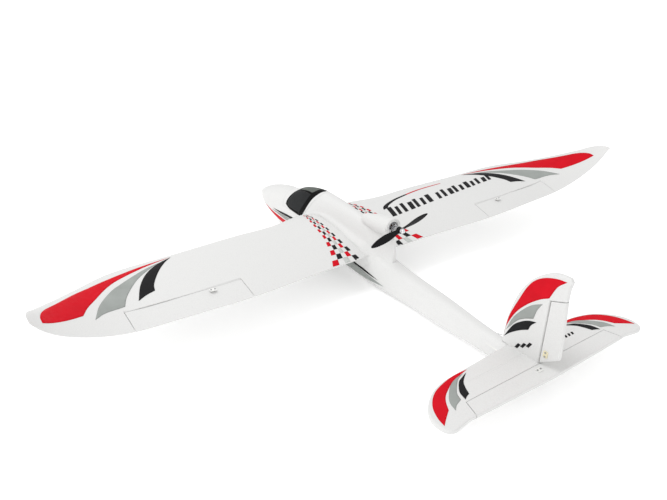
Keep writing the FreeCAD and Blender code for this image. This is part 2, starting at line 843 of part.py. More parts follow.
def fin_and_rudder():
    plate = fin_plate()
    hinge, gap = size("rudder_hinge_y"), size("hinge_gap")
    foot, top = size("stab_top_z"), 177.5
    slope = 12 / 30.0
    rise = 80 * slope
    opening = prism([
        (-20, hinge - gap, foot - 5), (-20, hinge - gap, top + gap),
        (-20, hinge + 80, top + gap + rise), (-20, hinge + 80, foot - 5),
    ], (40, 0, 0))
    flap_side = prism([
        (-20, hinge - 10, foot + 1.2), (-20, hinge - 10, top - 10 * slope),
        (-20, hinge + 80, top + rise), (-20, hinge + 80, foot + 1.2),
    ], (40, 0, 0))
    bevel = math.tan(math.radians(size("hinge_bevel"))) * 20
    flap = prism([(0, hinge, 0), (20, hinge + bevel, 0), (20, 480, 0), (-20, 480, 0), (-20, hinge + bevel, 0)],
                 (0, 0, 300))
    return plate.cut(opening), plate.common(flap_side).common(flap)


# ---------------------------------------------------------------- repeated small parts


def servo(node, place):
    """A micro servo. Its own frame has Z along the output axis and the origin in the arm's plane."""
    top = -size("arm_lift")
    body_top = top - size("servo_boss_height")
    boss, bottom = size("servo_boss_radius"), body_top - size("servo_height")
    half = size("servo_width") / 2
    overhang = (size("servo_tab_length") - size("servo_length")) / 2
    parts = [
        box(node + "_case", "sizes.servo_width", "sizes.servo_length", "sizes.servo_height",
            (-half, -boss, bottom)),
        box(node + "_tabs", "sizes.servo_width", "sizes.servo_tab_length", "sizes.servo_tab_thickness",
            (-half, -boss - overhang, bottom + size("servo_tab_height"))),
        cylinder(node + "_boss", "sizes.servo_boss_radius", "sizes.servo_boss_height", (0, 0, body_top)),
        cylinder(node + "_gear_cover", "sizes.servo_boss_radius / 2", "sizes.servo_boss_height",
                 (0, boss, body_top)),
        cylinder(node + "_spline", "sizes.servo_spline_radius", "sizes.servo_spline_height", (0, 0, top)),
    ]
    return keep(node, fuse(node + "_solid", parts), place)


def servo_arm(node, place, reach, hole_radius):
    """A one-sided arm along -X of the servo's frame, with a bore for the spline."""
    thick = size("arm_thickness")
    hub = cylinder(node + "_hub", "sizes.arm_hub_radius", "sizes.arm_lift - 0.1 + sizes.arm_thickness / 2",
                   (0, 0, -size("arm_lift") + 0.1))
    blade = feature(node + "_blade", prism([
        (0, -2.6, -thick / 2), (0, 2.6, -thick / 2),
        (-size(reach), 1.7 + 0.3, -thick / 2), (-size(reach), -2.0, -thick / 2),
    ], (0, 0, thick)))
    tip = cylinder(node + "_tip", "3.2", "sizes.arm_thickness", (-size(reach), 0, -thick / 2))
    bore = cylinder(node + "_bore", "sizes.servo_spline_radius + 0.05",
                    "sizes.servo_spline_height + 0.1", (0, 0, -size("arm_lift")))
    hole = cylinder(node + "_hole", hole_radius, "6", (-size(reach), 0, -3))
    solid = cut(node + "_solid", fuse(node + "_plus", [hub, blade, tip]), fuse(node + "_minus", [bore, hole]))
    return keep(node, solid, place)


def horn_screw_places():
    half = size("horn_screw_spacing") / 2
    return [(-half, size("horn_back")), (half, size("horn_back"))]


def horn_cutters(top, bottom, grow=0.06):
    """What the horn set takes out of the foam: two shallow seats and two screw holes."""
    length, width = size("horn_base_length") / 2 + grow, size("horn_base_width") / 2 + grow
    back = size("horn_back")
    seats = [
        slab((-length, back - width, top), (length, back + width, top + 10)),
        slab((-length, back - width, -bottom - 10), (length, back + width, -bottom)),
    ]
    holes = [
        Part.makeCylinder(size("horn_screw_radius") + grow, 40, Vector(x, y, -20))
        for x, y in horn_screw_places()
    ]
    return seats + holes


def horn_set(prefix, place, reach, top, bottom, hole_radius):
    """Control horn, backing plate and two screws. X runs along the hinge, Y aft, Z away from the horn."""
    length, width = size("horn_base_length") / 2, size("horn_base_width") / 2
    thick, fin, back = size("horn_base_thickness"), size("horn_fin_thickness") / 2, size("horn_back")
    holes = [Part.makeCylinder(size("horn_screw_radius") + 0.05, 40, Vector(x, y, -20))
             for x, y in horn_screw_places()]
    base = slab((-length, back - width, -bottom - thick), (length, back + width, -bottom))
    boss = size(hole_radius) + 2.1
    blade = prism([
        (-fin, back - width + 1.5, -bottom - thick / 2), (-fin, back + width, -bottom - thick / 2),
        (-fin, boss, -reach), (-fin, -boss, -reach),
    ], (2 * fin, 0, 0))
    tip = Part.makeCylinder(boss, 2 * fin, Vector(-fin, 0, -reach), Vector(1, 0, 0))
    pivot = Part.makeCylinder(size(hole_radius), 10, Vector(-5, 0, -reach), Vector(1, 0, 0))
    horn = base.fuse([blade, tip]).cut(holes + [pivot]).removeSplitter()
    keep(prefix + "_horn", feature(prefix + "_horn_solid", horn), place)
    plate = slab((-length, back - width, top), (length, back + width, top + thick))
    upright = [edge for edge in plate.Edges if edge.BoundBox.ZLength > thick / 2]
    plate = plate.makeFillet(2, upright).cut(holes)
    keep(prefix + "_horn_backplate", feature(prefix + "_backplate_solid", plate), place)
    screws = []
    for x, y in horn_screw_places():
        shank = Part.makeCylinder(size("horn_screw_radius"), top + 2 * thick + bottom + 0.1,
                                  Vector(x, y, -bottom - thick))
        head = Part.makeCylinder(size("horn_screw_head_radius"), size("horn_screw_head_height"),
                                 Vector(x, y, top + thick + 0.02))
        screws.append(head.fuse(shank).removeSplitter())
    keep(prefix + "_horn_screws", feature(prefix + "_screws_solid", copies(screws)), place)


def block(node, length, width, height, at, rounding):
    """A plain rounded box, for a battery or an electronic module."""
    core = box(node + "_box", length, width, height, at)
    made = doc.addObject("Part::Fillet", node + "_round")
    made.Base = core
    made.Edges = [(i, rounding, rounding) for i in range(1, 13)]
    return keep(node, made)


# ---------------------------------------------------------------- sub-parts: wing


def make_wing():
    panel, aileron = wing_parts()
    frame = aileron_linkage_frame()
    top, bottom = size("hinge_depth"), AILERON_DEPTH
    seats = copies(horn_cutters(top, bottom))
    seats.Placement = frame
    keep("left_wing_panel", feature("left_wing_panel_solid", wing_panel(panel)))
    keep("left_aileron", feature("left_aileron_solid", aileron.cut(seats.Solids)))
    horn_set("left_aileron", frame, size("aileron_arm"), top, bottom, "pivot_hole_radius")

    turned = Rotation(Vector(0, 0, 1), Vector(0, -1, 0), Vector(1, 0, 0), "XYZ")
    servo_place = frame.multiply(Placement(SERVO_BACK, turned))
    servo("left_aileron_servo", servo_place)
    servo_arm("left_aileron_servo_arm", servo_place, "aileron_arm", "sizes.pivot_hole_radius")
    aside, low = size("wire_offset"), -size("aileron_arm")
    x, y, z = SERVO_BACK
    wire = bent_wire([
        (-aside, 0, low), (aside, 0, low), (aside, y, z + low), (-aside, y, z + low),
    ], size("wire_radius"))
    keep("left_aileron_pushrod", feature("left_aileron_pushrod_solid", wire), frame)
    for name in ("wing_panel", "aileron", "aileron_horn", "aileron_horn_backplate", "aileron_horn_screws",
                 "aileron_servo", "aileron_servo_arm", "aileron_pushrod"):
        mirrored("right_" + name, nodes["left_" + name])


def make_joiner():
    half, y, z = size("joiner_half_length"), size("joiner_y"), size("joiner_z")
    outside = cylinder("joiner_outside", "sizes.joiner_radius", "2 * sizes.joiner_half_length",
                       (-half, y, z), (1, 0, 0))
    inside = cylinder("joiner_inside", "sizes.joiner_radius - sizes.joiner_wall",
                      "2 * sizes.joiner_half_length + 2", (-half - 1, y, z), (1, 0, 0))
    keep("wing_joiner_tube", cut("joiner_solid", outside, inside))
    end = size("root_x") - 1
    sleeve = cylinder("sleeve_outside", "sizes.joiner_radius + 1", "2 * (sizes.root_x - 1)", (-end, y, z), (1, 0, 0))
    bore = cylinder("sleeve_bore", "sizes.joiner_radius + sizes.fit_clearance", "2 * sizes.root_x",
                    (-end - 1, y, z), (1, 0, 0))
    keep("wing_joiner_sleeve", cut("sleeve_solid", sleeve, bore))


# ---------------------------------------------------------------- sub-parts: fuselage and equipment


def make_fuselage():
    keep("fuselage_left_half", feature("fuselage_left_solid", fuselage_half(1)))
    keep("fuselage_right_half", feature("fuselage_right_solid", fuselage_half(-1)))
    keep("canopy_hatch", feature("canopy_hatch_solid", hatch()))
    keep("fuselage_magnets", feature("fuselage_magnets_solid", copies(magnets(FUSELAGE_MAGNET_Z))))
    keep("hatch_magnets", feature("hatch_magnets_solid", copies(magnets(HATCH_MAGNET_Z))))


def make_equipment():
    floor = 10.5
    lift = floor + size("strap_thickness") + 0.05
    front, width = size("battery_front_y"), size("battery_width")
    block("battery_pack", "sizes.battery_width", "sizes.battery_length", "sizes.battery_height",
          (-width / 2, front, lift), 2.5)
    strap = size("strap_thickness")
    middle = front + size("battery_length") / 2 - size("strap_width") / 2
    outside = box("strap_outside", "sizes.battery_width + 2 * sizes.strap_thickness - 1.3", "sizes.strap_width",
                  "sizes.battery_height + 2 * sizes.strap_thickness", (-width / 2 - strap + 0.65, middle, floor + 0.02))
    outside.Width = size("strap_width")
    inside = box("strap_inside", "sizes.battery_width + 0.1", "sizes.strap_width + 2",
                 "sizes.battery_height + 0.08", (-width / 2 - 0.05, middle - 1, lift - 0.03))
    keep("battery_strap", cut("strap_solid", outside, inside))
    block("speed_controller", "sizes.controller_width", "sizes.controller_length", "sizes.controller_height",
          (-size("controller_width") / 2, -276, 10), 1.5)
    block("receiver", "sizes.receiver_width", "sizes.receiver_length", "sizes.receiver_height",
          (-size("receiver_width") / 2, -222, 9.05), 1.5)
    tray = box("tray_plate", "47.8", "104", "sizes.tray_thickness - 0.02", (-23.9, -162, TRAY_TOP - 2.99))
    windows = []
    for name, at in (("rudder", RUDDER_SERVO), ("elevator", ELEVATOR_SERVO)):
        windows.append(box("tray_window_" + name, "sizes.servo_width + 0.4", "sizes.servo_length + 0.4", "9",
                           (at.x - size("servo_width") / 2 - 0.2, at.y - size("servo_boss_radius") - 0.2, TRAY_TOP - 6)))
    keep("servo_tray", cut("tray_solid", tray, fuse("tray_windows", windows)))


def make_tail_linkages():
    servo("rudder_servo", Placement(RUDDER_SERVO, Rotation()))
    servo("elevator_servo", Placement(ELEVATOR_SERVO, Rotation()))
    servo_arm("rudder_servo_arm", Placement(RUDDER_SERVO, Rotation()), "tail_arm", "sizes.rudder_hole_radius")
    # the elevator arm points the other way, so its blade is turned half round
    servo_arm("elevator_servo_arm", Placement(ELEVATOR_SERVO, Rotation(Vector(0, 0, 1), 180)),
              "tail_arm", "sizes.elevator_hole_radius")
    for node, (start, end) in GUIDES.items():
        length = str((end - start).Length)
        outside = cylinder(node + "_outside", "sizes.tube_outer_radius", length, start, end - start)
        inside = cylinder(node + "_inside", "sizes.tube_inner_radius", length, start, end - start)
        keep(node, cut(node + "_solid", outside, inside))
    for node, wire in (("rudder_pushrod", RUDDER_WIRE), ("elevator_pushrod", ELEVATOR_WIRE)):
        keep(node, feature(node + "_solid", bent_wire(wire, size("wire_radius"))))


# ---------------------------------------------------------------- sub-parts: tail


def elevator_linkage_frame():
    return Placement(Vector(size("elevator_horn_x"), size("elevator_hinge_y"), ELEVATOR_AXIS_Z), Rotation())


def rudder_linkage_frame():
    """X up the rudder hinge, Y aft, Z to the left, so the horn is on the right side."""
    turned = Rotation(Vector(0, 0, -1), Vector(0, 1, 0), Vector(1, 0, 0), "XYZ")
    return Placement(Vector(0, size("rudder_hinge_y"), size("rudder_horn_z")), turned)


def seated(shape, cutters, frame):
    """Cuts the seats and screw holes of a horn set from a tail surface."""
    tool = copies(cutters)
    tool.Placement = frame
    return shape.cut(tool.Solids)


def make_tail():
    stab, elevator = stab_and_elevator()
    fin, rudder = fin_and_rudder()
    spar = slab((-135, 386, size("stab_top_z") - 1.2), (135, 389, size("stab_top_z") - 0.05))
    keep("stabiliser_spar_strip", feature("spar_strip_solid", spar))
    slot = slab((-135.1, 385.9, size("stab_top_z") - 1.25), (135.1, 389.1, size("stab_top_z") + 5))
    keep("horizontal_stabiliser", feature("stabiliser_solid", stab.cut(slot)))
    keep("fin", feature("fin_solid", fin))
    top = size("hinge_depth")
    bottom = size("plate") - top
    frame = elevator_linkage_frame()
    keep("elevator", feature("elevator_solid", seated(elevator, horn_cutters(top, bottom), frame)))
    horn_set("elevator", frame, HORN_REACH, top, bottom, "elevator_hole_radius")
    half = size("plate") / 2
    frame = rudder_linkage_frame()
    keep("rudder", feature("rudder_solid", seated(rudder, horn_cutters(half, half), frame)))
    horn_set("rudder", frame, HORN_REACH, half, half, "rudder_hole_radius")


# ---------------------------------------------------------------- sub-parts: motor and propeller


def motor_cylinder(name, radius, start, end):
    """A round piece on the motor's axis, between two stations."""
    return cylinder(name, radius, str(end - start), (0, start, size("pod_axis_z")), (0, 1, 0))


def around_motor(shape, count):
    """Copies of a shape, evenly spaced about the motor's axis."""
    made = []
    for i in range(count):
        turned = shape.copy()
        turned.rotate(Vector(0, 0, size("pod_axis_z")), Vector(0, 1, 0), 360.0 / count * i)
        made.append(turned)
    return made


def on_axis(radius, start, end, out=0):
    return tube_between((out, start, size("pod_axis_z")), (out, end, size("pod_axis_z")), radius)


def make_motor():
    mount_front = size("pod_bore_front_y") + 0.03
    plate = motor_cylinder("mount_plate", "sizes.pod_bore_radius - 0.1", mount_front, mount_front + 3)
    holes = feature("mount_holes", copies(
        [on_axis(4, -10, 10)] + around_motor(on_axis(1.56, -10, 10, 8), 4)))
    keep("motor_mount", cut("motor_mount_solid", plate, holes), thrust_line())
    screws = [on_axis(1.5, mount_front - 0.0, 2.0, 8)]
    keep("motor_mount_screws", feature("motor_mount_screws_solid", copies(around_motor(screws[0], 4))), thrust_line())

    base = on_axis(size("motor_radius") - 0.6, mount_front + 3.05, 3.6).fuse(on_axis(4.1, 3, 24))
    base = base.cut([on_axis(size("motor_shaft_radius") + 0.05, -5, 30)] + around_motor(on_axis(1.56, -5, 2.05, 8), 4))
    windows = around_motor(slab((5.2, -4, size("pod_axis_z") - 1), (6.2, 10, size("pod_axis_z") + 1)), 8)
    keep("motor_base", feature("motor_base_solid", base.cut(windows)), thrust_line())

    core = on_axis(size("stator_radius"), 7, 22).cut(on_axis(4.15, 0, 30))
    gap = slab((5.2, 5, size("pod_axis_z") - 0.6), (20, 25, size("pod_axis_z") + 0.6))
    keep("motor_stator", feature("motor_stator_solid", core.cut(around_motor(gap, 12))), thrust_line())

    can = on_axis(size("motor_radius"), 4.4, 29).cut(on_axis(size("stator_radius") + 0.5, 4, 26))
    window = Part.makeCylinder(2.2, 8, Vector(7, 24, size("pod_axis_z")), Vector(0, 1, 0))
    can = can.cut(around_motor(window, 6)).cut(on_axis(size("motor_shaft_radius"), 20, 35))
    can = can.fuse([on_axis(3.8, 26, 32).cut(on_axis(size("motor_shaft_radius"), 20, 35)),
                    on_axis(size("motor_shaft_radius"), 1, 45)]).removeSplitter()
    keep("motor_bell", feature("motor_bell_solid", can), thrust_line())


def propeller_blade():
    """One blade along +X: thin cambered sections, twisted to a constant pitch."""
    tip = size("propeller_diameter") / 2
    wires = []
    for share, chord, thick in ((0.07, 8.5, 4.4), (0.2, 10.5, 3.2), (0.4, 14.5, 2.4), (0.6, 15, 1.9),
                                (0.8, 12, 1.5), (0.93, 7.5, 1.2), (1.0, 3, 0.8)):
        twist = math.atan(size("propeller_pitch") / (2 * math.pi * tip * max(share, 0.3)))
        points = []
        for along, over in ((-0.5, 0), (-0.32, 0.42), (0, 0.6), (0.3, 0.42), (0.5, 0), (0.2, -0.3), (-0.25, -0.32)):
            a, b = along * chord, over * thick
            points.append(Vector(
                share * tip, a * math.sin(twist) + b * math.cos(twist),
                b * math.sin(twist) - a * math.cos(twist)))
        ring = Part.BSplineCurve()
        ring.interpolate(points, PeriodicFlag=True)
        wires.append(Part.Wire([ring.toShape()]))
    return Part.makeLoft(wires, True)


def make_propeller():
    centre = Vector(0, size("propeller_y"), size("pod_axis_z"))
    half = size("propeller_hub_length") / 2
    adapter = on_axis(5, 33, 42).fuse(Part.makeCone(5, 7.2, 4, Vector(0, 42, centre.z), Vector(0, 1, 0)))
    adapter = adapter.fuse([on_axis(7.2, 46, 46.9), on_axis(3, 46, 61)])
    adapter = adapter.cut(on_axis(size("motor_shaft_radius") + 0.02, 30, 45.2)).removeSplitter()
    keep("propeller_adapter", feature("propeller_adapter_solid", adapter), thrust_line())

    blade = propeller_blade()
    hub = Part.makeCylinder(size("propeller_hub_radius"), 2 * half, Vector(0, -half, 0), Vector(0, 1, 0))
    other = blade.copy()
    other.rotate(Vector(0, 0, 0), Vector(0, 1, 0), 180)
    bore = Part.makeCylinder(3.02, 20, Vector(0, -10, 0), Vector(0, 1, 0))
    made = hub.fuse([blade, other]).cut(bore)
    made.rotate(Vector(0, 0, 0), Vector(0, 1, 0), size("propeller_rest_angle"))
    made.translate(centre)
    keep("propeller", feature("propeller_solid", leaning(made)))

    washer = on_axis(5.2, centre.y + half + 0.05, centre.y + half + 1.2)
    corners = [(5.2 * math.cos(math.pi / 3 * i), 5.2 * math.sin(math.pi / 3 * i)) for i in range(6)]
    start = centre.y + half + 1.2
    hexagon = prism([(x, start, centre.z + z) for x, z in corners], (0, 4, 0))
    dome = Part.makeSphere(4.3, Vector(0, start + 3.6, centre.z))
    dome = dome.common(slab((-10, start + 3.6, centre.z - 10), (10, start + 12, centre.z + 10)))
    nut = washer.fuse([hexagon, dome]).cut(on_axis(3.02, 40, 61.1)).removeSplitter()
    keep("propeller_nut", feature("propeller_nut_solid", nut), thrust_line())


# ---------------------------------------------------------------- build, check and write


def check_and_write():
    doc.recompute()
    for obj in doc.Objects:
        if "Invalid" in obj.State or "Error" in obj.State:
            raise RuntimeError("%s did not compute: %s" % (obj.Label, obj.State))
    os.makedirs("parts", exist_ok=True)
    for node, obj in nodes.items():
        shape = obj.Shape
        if shape.isNull() or not shape.isValid() or not shape.Solids:
            raise RuntimeError("%s has no valid solid" % node)
        shape.exportStep("parts/%s.step" % node)
        print("%-32s %2d solid(s) %9.1f mm3" % (node, len(shape.Solids), shape.Volume))


AILERON_DEPTH = 9.6

make_fuselage()
make_wing()
make_joiner()
make_tail()
make_tail_linkages()
make_equipment()
make_motor()
make_propeller()
check_and_write()
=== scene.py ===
"""A white foam motor glider with printed stickers, on a pale studio floor."""

import json
import math

import bpy
from mathutils import Matrix, Vector
from mathutils.bvhtree import BVHTree
from mathutils.geometry import delaunay_2d_cdt


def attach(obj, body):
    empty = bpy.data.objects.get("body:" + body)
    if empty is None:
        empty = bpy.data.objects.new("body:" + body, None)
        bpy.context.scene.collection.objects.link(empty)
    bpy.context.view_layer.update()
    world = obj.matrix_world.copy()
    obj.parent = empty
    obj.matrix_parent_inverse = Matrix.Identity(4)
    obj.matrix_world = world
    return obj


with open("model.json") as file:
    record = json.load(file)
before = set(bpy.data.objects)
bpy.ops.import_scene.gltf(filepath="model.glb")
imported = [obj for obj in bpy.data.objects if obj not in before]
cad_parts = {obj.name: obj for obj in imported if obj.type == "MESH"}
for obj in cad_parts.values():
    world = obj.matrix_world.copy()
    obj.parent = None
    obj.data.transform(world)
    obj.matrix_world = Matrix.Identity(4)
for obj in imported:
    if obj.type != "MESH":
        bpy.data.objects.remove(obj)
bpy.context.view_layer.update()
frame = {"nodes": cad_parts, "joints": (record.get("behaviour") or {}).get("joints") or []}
nodes = frame["nodes"]
scene = bpy.context.scene
MM = 0.001

# ---------------------------------------------------------------- camera, floor and light


# the camera stands behind and above the left wing tip and looks at the wing's middle
CAMERA_PLACE = (0.85134, 0.97435, 0.76458)
CAMERA_RIGHT = Vector((-0.80932, 0.58687, 0.02415))
CAMERA_UP = Vector((-0.25782, -0.39189, 0.88315))
CAMERA_LENS = 37.781

FLOOR_HALF = 14
FLOOR_DROP = 0.0004
FLOOR_GLOW = 0.2
WORLD_LIGHT = 0.88


def make_camera():
    camera = bpy.data.objects.new("camera", bpy.data.cameras.new("camera"))
    scene.collection.objects.link(camera)
    back = CAMERA_RIGHT.cross(CAMERA_UP)
    place = Matrix((CAMERA_RIGHT, CAMERA_UP, back)).transposed().to_4x4()
    place.translation = CAMERA_PLACE
    camera.matrix_world = place
    camera.data.sensor_width = 36
    camera.data.lens = CAMERA_LENS
    camera.data.clip_end = 100
    scene.camera = camera


def area_light(name, spot, aim, size, power):
    data = bpy.data.lights.new(name, "AREA")
    data.shape, data.size, data.energy = "DISK", size, power
    light = bpy.data.objects.new(name, data)
    scene.collection.objects.link(light)
    light.location = spot
    light.rotation_euler = (Vector(aim) - Vector(spot)).to_track_quat("-Z", "Y").to_euler()


def make_studio():
    world = bpy.data.worlds.new("studio")
    scene.world = world
    world.use_nodes = True
    background = world.node_tree.nodes["Background"].inputs
    background["Color"].default_value = (1, 1, 1, 1)
    background["Strength"].default_value = WORLD_LIGHT
    area_light("key", spot=(1.2, -0.6, 2.6), aim=(0, 0, 0.05), size=1.6, power=26)
    area_light("fill", spot=(2.0, 1.6, 1.4), aim=(0, 0, 0.1), size=2.4, power=7)
    half = FLOOR_HALF
    corners = [(-half, -half, 0), (half, -half, 0), (half, half, 0), (-half, half, 0)]
    mesh = bpy.data.meshes.new("floor")
    mesh.from_pydata(corners, [], [(0, 1, 2, 3)])
    floor = bpy.data.objects.new("floor", mesh)
    scene.collection.objects.link(floor)
    floor.location.z = -FLOOR_DROP
    white = plain("floor_white", (1.0, 1.0, 1.0), 0.9)
    glow = white.node_tree.nodes["Principled BSDF"].inputs
    glow["Emission Color"].default_value = (1, 1, 1, 1)
    glow["Emission Strength"].default_value = FLOOR_GLOW
    floor.data.materials.append(white)
    scene.view_settings.view_transform = "Standard"
    scene.view_settings.look = "None"


# ---------------------------------------------------------------- materials


class Shader:
    """A small helper to wire up one Principled material."""

    def __init__(self, name, color, roughness, metallic=0.0, **sockets):
        self.material = bpy.data.materials.new(name)
        self.material.use_nodes = True
        self.tree = self.material.node_tree
        self.bsdf = self.tree.nodes["Principled BSDF"]
        self.set("Base Color", (*color, 1))
        self.set("Roughness", roughness)
        self.set("Metallic", metallic)
        for socket, value in sockets.items():
            self.set(socket.replace("_", " "), value)
        self.place = None
        self.material.diffuse_color = (*color, 1)

    def set(self, socket, value):
        self.bsdf.inputs[socket].default_value = value

    def node(self, kind, **values):
        made = self.tree.nodes.new(kind)
        for key, value in values.items():
            if key in made.inputs:
                made.inputs[key].default_value = value
            else:
                setattr(made, key, value)
        return made

    def link(self, source, target):
        self.tree.links.new(source, target)

    def position(self, stretch=(1, 1, 1)):
        """Object coordinates, stretched: pieces are made in place, so this is the shared frame."""
        if self.place is None:
            self.place = self.node("ShaderNodeTexCoord").outputs["Object"]
        if stretch == (1, 1, 1):
            return self.place
        mapping = self.node("ShaderNodeMapping")
        mapping.inputs["Scale"].default_value = stretch
        self.link(self.place, mapping.inputs["Vector"])
        return mapping.outputs["Vector"]

    def noise(self, scale, detail=3, stretch=(1, 1, 1)):
        texture = self.node("ShaderNodeTexNoise", Scale=scale, Detail=detail)
        self.link(self.position(stretch), texture.inputs["Vector"])
        return texture.outputs["Fac"]

    def cells(self, scale, feature="F1"):
        texture = self.node("ShaderNodeTexVoronoi", feature=feature, Scale=scale)
        self.link(self.position(), texture.inputs["Vector"])
        return texture.outputs["Distance"]

    def ramp(self, factor, low, high, dark, light):
        """Maps factor from low..high onto a blend of two colours."""
        made = self.node("ShaderNodeValToRGB")
        stops = made.color_ramp.elements
        stops[0].position, stops[1].position = low, high
        stops[0].color, stops[1].color = (*dark, 1), (*light, 1)
        self.link(factor, made.inputs["Fac"])
        return made.outputs["Color"]

    def span(self, factor, low, high, start, end):
        """Maps factor from low..high onto the numbers start..end."""
        made = self.node("ShaderNodeMapRange")
        for key, value in (("From Min", low), ("From Max", high), ("To Min", start), ("To Max", end)):
            made.inputs[key].default_value = value
        self.link(factor, made.inputs["Value"])
        return made.outputs["Result"]

    def bump(self, height, distance, strength=1.0, after=None):
        made = self.node("ShaderNodeBump", Strength=strength, Distance=distance)
        self.link(height, made.inputs["Height"])
        if after:
            self.link(after, made.inputs["Normal"])
        self.link(made.outputs["Normal"], self.bsdf.inputs["Normal"])
        return made.outputs["Normal"]


BEADS = 270  # foam beads per metre


def shade(color, factor):
    return tuple(min(1.0, c * factor) for c in color)


def plain(name, color, roughness):
    """Smooth surface with a faint mottle."""
    shader = Shader(name, color, roughness)
    tone = shader.ramp(shader.noise(4, 2), 0.3, 0.7, shade(color, 0.985), color)
    shader.link(tone, shader.bsdf.inputs["Base Color"])
    return shader.material


def foam(name, color):
    """Moulded bead foam: faint cell outlines, each bead a shallow dome."""
    shader = Shader(name, color, 0.55)
    edge = shader.cells(BEADS, "DISTANCE_TO_EDGE")
    shader.link(shader.ramp(edge, 0.0, 0.12, shade(color, 0.955), color), shader.bsdf.inputs["Base Color"])
    shader.link(shader.span(shader.noise(90), 0.3, 0.7, 0.48, 0.62), shader.bsdf.inputs["Roughness"])
    domes = shader.bump(shader.span(edge, 0.0, 0.25, 0, 1), 0.00012, 0.5)
    shader.bump(shader.noise(60, 4), 0.0003, 0.25, domes)
    return shader.material


def print_film(name, color, roughness=0.5):
    """Printed sticker film: slight ink mottle, and the foam's texture showing through."""
    shader = Shader(name, color, roughness, Specular_IOR_Level=0.05)
    shader.link(shader.ramp(shader.noise(35, 5), 0.3, 0.7, shade(color, 0.92), shade(color, 1.05)),
                shader.bsdf.inputs["Base Color"])
    shader.link(shader.span(shader.noise(120), 0.3, 0.7, roughness - 0.08, roughness + 0.12),
                shader.bsdf.inputs["Roughness"])
    shader.bump(shader.cells(BEADS), 0.00008, 0.35)
    return shader.material


def moulded(name, color, roughness=0.45, **sockets):
    """Moulded plastic with a fine grain and slight colour variation."""
    shader = Shader(name, color, roughness, **sockets)
    shader.link(shader.ramp(shader.noise(60, 4), 0.3, 0.7, shade(color, 0.9), shade(color, 1.06)),
                shader.bsdf.inputs["Base Color"])
    shader.link(shader.span(shader.noise(260), 0.3, 0.7, roughness - 0.07, roughness + 0.08),
                shader.bsdf.inputs["Roughness"])
    shader.bump(shader.noise(900, 2), 0.00006, 0.4)
    return shader.material


def metal(name, color, roughness, stretch=(1, 1, 1)):
    """Turned or drawn metal: fine lines along one direction, and worn patches."""
    shader = Shader(name, color, roughness, metallic=1.0)
    lines = shader.noise(700, 3, stretch)
    shader.link(shader.ramp(lines, 0.3, 0.7, shade(color, 0.82), shade(color, 1.05)),
                shader.bsdf.inputs["Base Color"])
    shader.link(shader.span(shader.noise(150), 0.3, 0.7, roughness - 0.08, roughness + 0.12),
                shader.bsdf.inputs["Roughness"])
    shader.bump(lines, 0.00003, 0.4)
    return shader.material


def wood(name, color):
    """Plywood, with its grain along the length."""
    shader = Shader(name, color, 0.6)
    grain = shader.noise(60, 5, (12, 1, 3))
    shader.link(shader.ramp(grain, 0.3, 0.7, shade(color, 0.68), shade(color, 1.08)),
                shader.bsdf.inputs["Base Color"])
    shader.bump(grain, 0.0001, 0.5)
    return shader.material


def woven(name, color, scale=900):
    """Cloth or fibre, with two crossed sets of threads."""
    shader = Shader(name, color, 0.75)
    warp = shader.node("ShaderNodeTexWave", bands_direction="X", Scale=scale)
    weft = shader.node("ShaderNodeTexWave", bands_direction="Y", Scale=scale)
    for wave in (warp, weft):
        shader.link(shader.position(), wave.inputs["Vector"])
    both = shader.node("ShaderNodeMath", operation="MULTIPLY")
    shader.link(warp.outputs["Fac"], both.inputs[0])
    shader.link(weft.outputs["Fac"], both.inputs[1])
    shader.link(shader.ramp(both.outputs[0], 0.1, 0.8, shade(color, 0.6), shade(color, 1.5)),
                shader.bsdf.inputs["Base Color"])
    shader.bump(both.outputs[0], 0.0001, 0.6)
    return shader.material


RED = (0.60, 0.006, 0.016)
GREY = (0.33, 0.35, 0.335)
BLACK = (0.016, 0.016, 0.017)

paint = {
    "foam": foam("white_foam", (0.70, 0.70, 0.692)),
    "red": print_film("film_red", RED),
    "grey": print_film("film_grey", GREY),
    "light_grey": print_film("film_light_grey", (0.52, 0.54, 0.52)),
    "black": print_film("film_black", BLACK),
    "canopy": print_film("canopy_black", (0.003, 0.003, 0.003), 0.45),
    # canopy panes: dark print, with painted reflection; the side panes are a little lighter than the surround,
    # and the top pane is much paler
    "pane": print_film("canopy_pane", (0.022, 0.023, 0.024), 0.4),
    "top_pane_painted_reflection": print_film("canopy_top_pane_painted_reflection", (0.12, 0.13, 0.12), 0.45),
    "ivory": moulded("ivory_nylon", (0.74, 0.68, 0.47)),
    "white_nylon": moulded("white_nylon", (0.82, 0.82, 0.80)),
    "case": moulded("servo_case", (0.02, 0.045, 0.11), 0.25),
    "tube": woven("carbon_weave", (0.03, 0.03, 0.032), 400),
    "sleeve": moulded("sleeve_plastic", (0.78, 0.78, 0.75)),
    "steel": metal("drawn_steel", (0.60, 0.60, 0.61), 0.3, (1, 0.05, 1)),
    "screw": metal("screw_steel", (0.45, 0.45, 0.46), 0.35),
    "battery": moulded("battery_wrap", (0.02, 0.06, 0.20), 0.25),
    "strap": woven("strap_weave", (0.02, 0.02, 0.02)),
    "controller": moulded("controller_wrap", (0.02, 0.02, 0.025), 0.3),
    "receiver": moulded("receiver_case", (0.03, 0.03, 0.032), 0.5),
    "wood": wood("tray_plywood", (0.62, 0.42, 0.22)),
    "mount": metal("mount_aluminium", (0.66, 0.67, 0.69), 0.35),
    "stator": metal("stator_windings", (0.55, 0.24, 0.09), 0.35, (1, 6, 1)),
    "can": metal("motor_can", (0.42, 0.42, 0.43), 0.28, (1, 8, 1)),
    "bright": metal("bright_aluminium", (0.80, 0.80, 0.82), 0.2, (1, 8, 1)),
    "propeller": moulded("propeller_black", (0.007, 0.007, 0.008), 0.5, Specular_IOR_Level=0.12),
}

